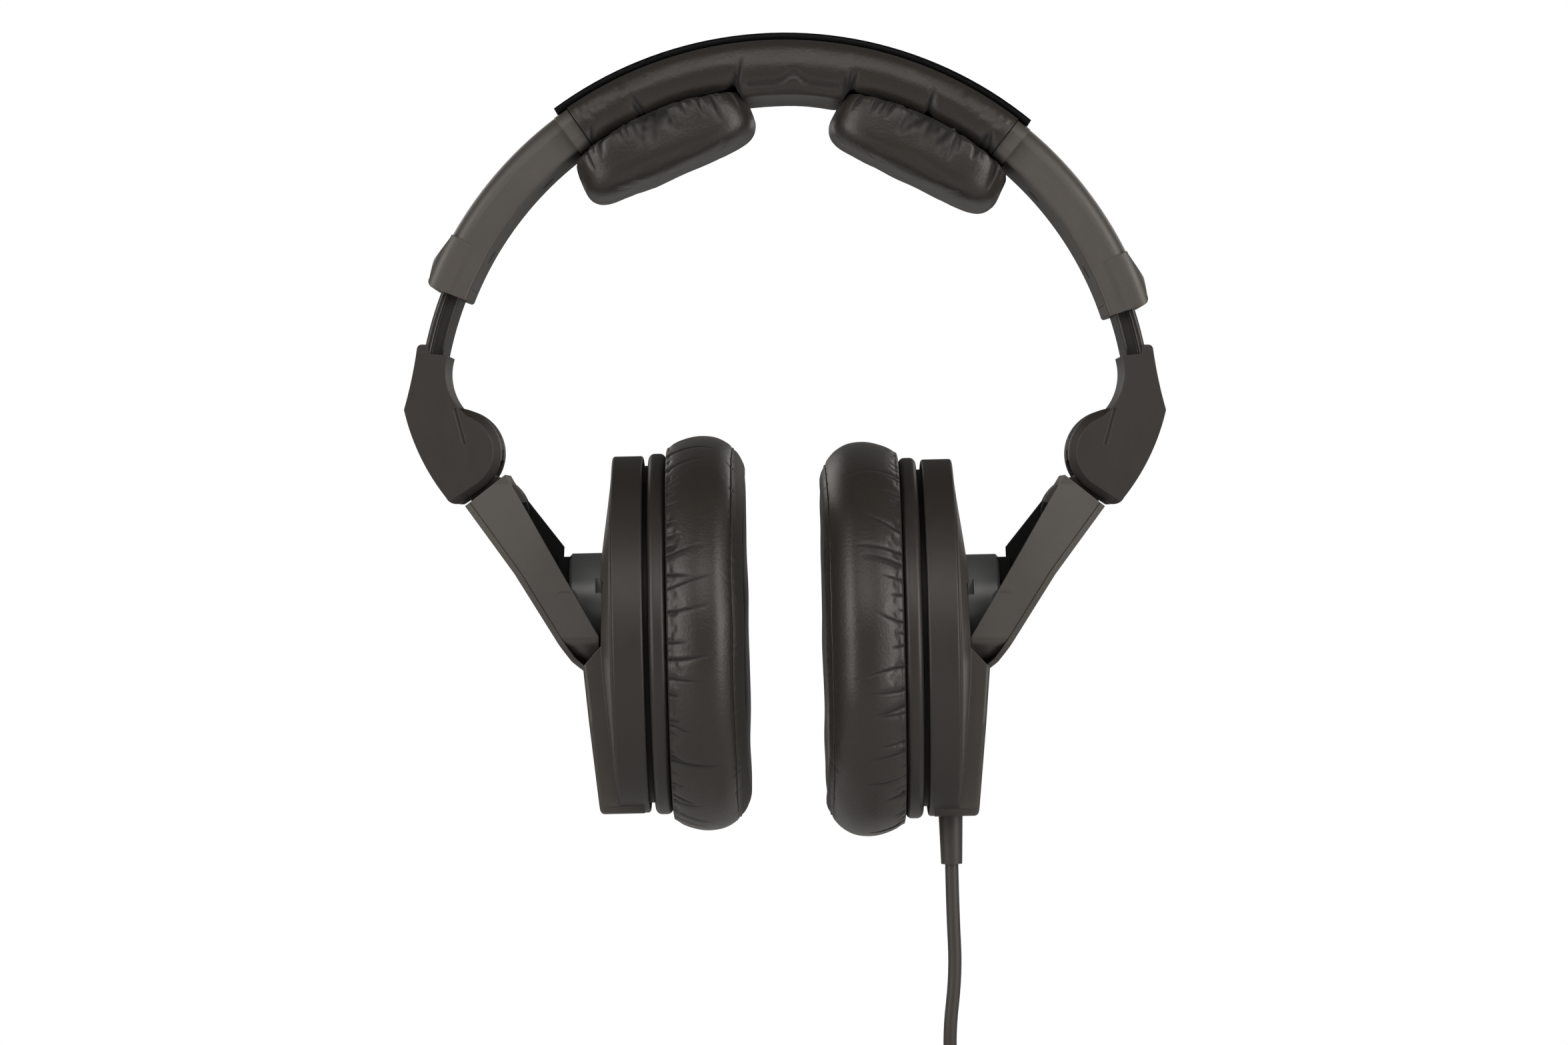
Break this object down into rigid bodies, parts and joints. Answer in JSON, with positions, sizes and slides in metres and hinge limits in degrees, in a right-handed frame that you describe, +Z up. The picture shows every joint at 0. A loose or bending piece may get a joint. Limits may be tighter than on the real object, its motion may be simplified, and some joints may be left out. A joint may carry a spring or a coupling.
{
  "type": "over-ear headphones",
  "caption": "Closed over-ear headphones with a padded arched headband, sliding arms, folding hinges, tilting and swivelling oval cups and a one-sided cord.",
  "frame": {"origin": "underside of the headband sleeve at the crown, where it rests on the head", "axes": "+Z up, +X the wearer's left, -Y the front; the arch lies in the XZ plane"},
  "size_m": [0.1914, 0.086, 0.3577],
  "materials": {
    "leatherette": "satin wrinkled synthetic leather, dark brown grey",
    "shell_plastic": "fine textured moulded plastic, warm dark grey",
    "trim_plastic": "near-black satin strip",
    "post_plastic": "smooth cool dark grey",
    "detent_plastic": "black",
    "steel": "spring steel",
    "rail_metal": "dark coated metal",
    "cable_jacket": "matte dark grey jacket",
    "grille_cloth": "black cloth-faced grille",
    "driver_plastic": "black",
    "magnet_steel": "plated",
    "diaphragm_film": "thin film",
    "contact_metal": "plated plug contacts"
  },
  "bodies": {
    "headband": {"top_trim": "trim_plastic", "headband_sleeve": "leatherette", "spring_band": "steel", "crossover_lead": "cable_jacket", "arm_cover_screws": "steel", "left_crown_pad": "leatherette", "left_arm_shell": "shell_plastic", "left_arm_cover": "shell_plastic", "left_detent_spring": "steel", "right_crown_pad": "leatherette", "right_arm_shell": "shell_plastic", "right_arm_cover": "shell_plastic", "right_detent_spring": "steel"},
    "left_slider": {"left_slide_rail": "rail_metal", "left_shoulder_front": "shell_plastic", "left_shoulder_back": "shell_plastic", "left_shoulder_screws": "steel", "left_fold_detent": "detent_plastic", "left_fold_pin": "steel"},
    "left_arm": {"left_yoke_arm": "shell_plastic", "left_yoke_cover": "shell_plastic", "left_tilt_pin": "steel"},
    "left_post": {"left_swivel_post": "post_plastic", "left_post_retainer": "steel"},
    "left_cup": {"left_cup_shell": "shell_plastic", "left_baffle": "driver_plastic", "left_cushion_ring": "shell_plastic", "left_driver_grille": "grille_cloth", "left_driver_frame": "driver_plastic", "left_driver_magnet": "magnet_steel", "left_driver_diaphragm": "diaphragm_film", "left_ear_cushion": "leatherette", "strain_relief": "cable_jacket", "cord": "cable_jacket", "cord_coil": "cable_jacket", "coil_tie": "detent_plastic", "cord_tail": "cable_jacket", "plug_grip": "cable_jacket", "plug_contacts": "contact_metal"},
    "right_slider": {"right_slide_rail": "rail_metal", "right_shoulder_front": "shell_plastic", "right_shoulder_back": "shell_plastic", "right_shoulder_screws": "steel", "right_fold_detent": "detent_plastic", "right_fold_pin": "steel"},
    "right_arm": {"right_yoke_arm": "shell_plastic", "right_yoke_cover": "shell_plastic", "right_tilt_pin": "steel"},
    "right_post": {"right_swivel_post": "post_plastic", "right_post_retainer": "steel"},
    "right_cup": {"right_cup_shell": "shell_plastic", "right_baffle": "driver_plastic", "right_cushion_ring": "shell_plastic", "right_driver_grille": "grille_cloth", "right_driver_frame": "driver_plastic", "right_driver_magnet": "magnet_steel", "right_driver_diaphragm": "diaphragm_film", "right_ear_cushion": "leatherette"}
  },
  "joints": [
    {"name": "left_size_slide", "type": "hinge", "parent": "headband", "child": "left_slider", "pos_m": [0, 0, -0.0816], "axis": [0, 1, 0], "range_deg": [-5.2, 5.2]},
    {"name": "left_fold", "type": "hinge", "parent": "left_slider", "child": "left_arm", "pos_m": [0.0827, 0, -0.0892], "axis": [0, -1, 0], "range_deg": [-11, 0]},
    {"name": "left_tilt", "type": "hinge", "parent": "left_arm", "child": "left_post", "pos_m": [0.0554, 0, -0.1267], "axis": [0, 1, 0], "range_deg": [-5, 5]},
    {"name": "left_swivel", "type": "hinge", "parent": "left_post", "child": "left_cup", "pos_m": [0.0554, 0, -0.1267], "axis": [0.9998, 0, 0.022], "range_deg": [-35, 35]},
    {"name": "right_size_slide", "type": "hinge", "parent": "headband", "child": "right_slider", "pos_m": [0, 0, -0.0816], "axis": [0, 1, 0], "range_deg": [-5.2, 8.2]},
    {"name": "right_fold", "type": "hinge", "parent": "right_slider", "child": "right_arm", "pos_m": [-0.0827, 0, -0.0892], "axis": [0, -1, 0], "range_deg": [0, 11]},
    {"name": "right_tilt", "type": "hinge", "parent": "right_arm", "child": "right_post", "pos_m": [-0.0554, 0, -0.1267], "axis": [0, 1, 0], "range_deg": [-5, 5]},
    {"name": "right_swivel", "type": "hinge", "parent": "right_post", "child": "right_cup", "pos_m": [-0.0554, 0, -0.1267], "axis": [0.9998, 0, 0.022], "range_deg": [-35, 35]}
  ]
}
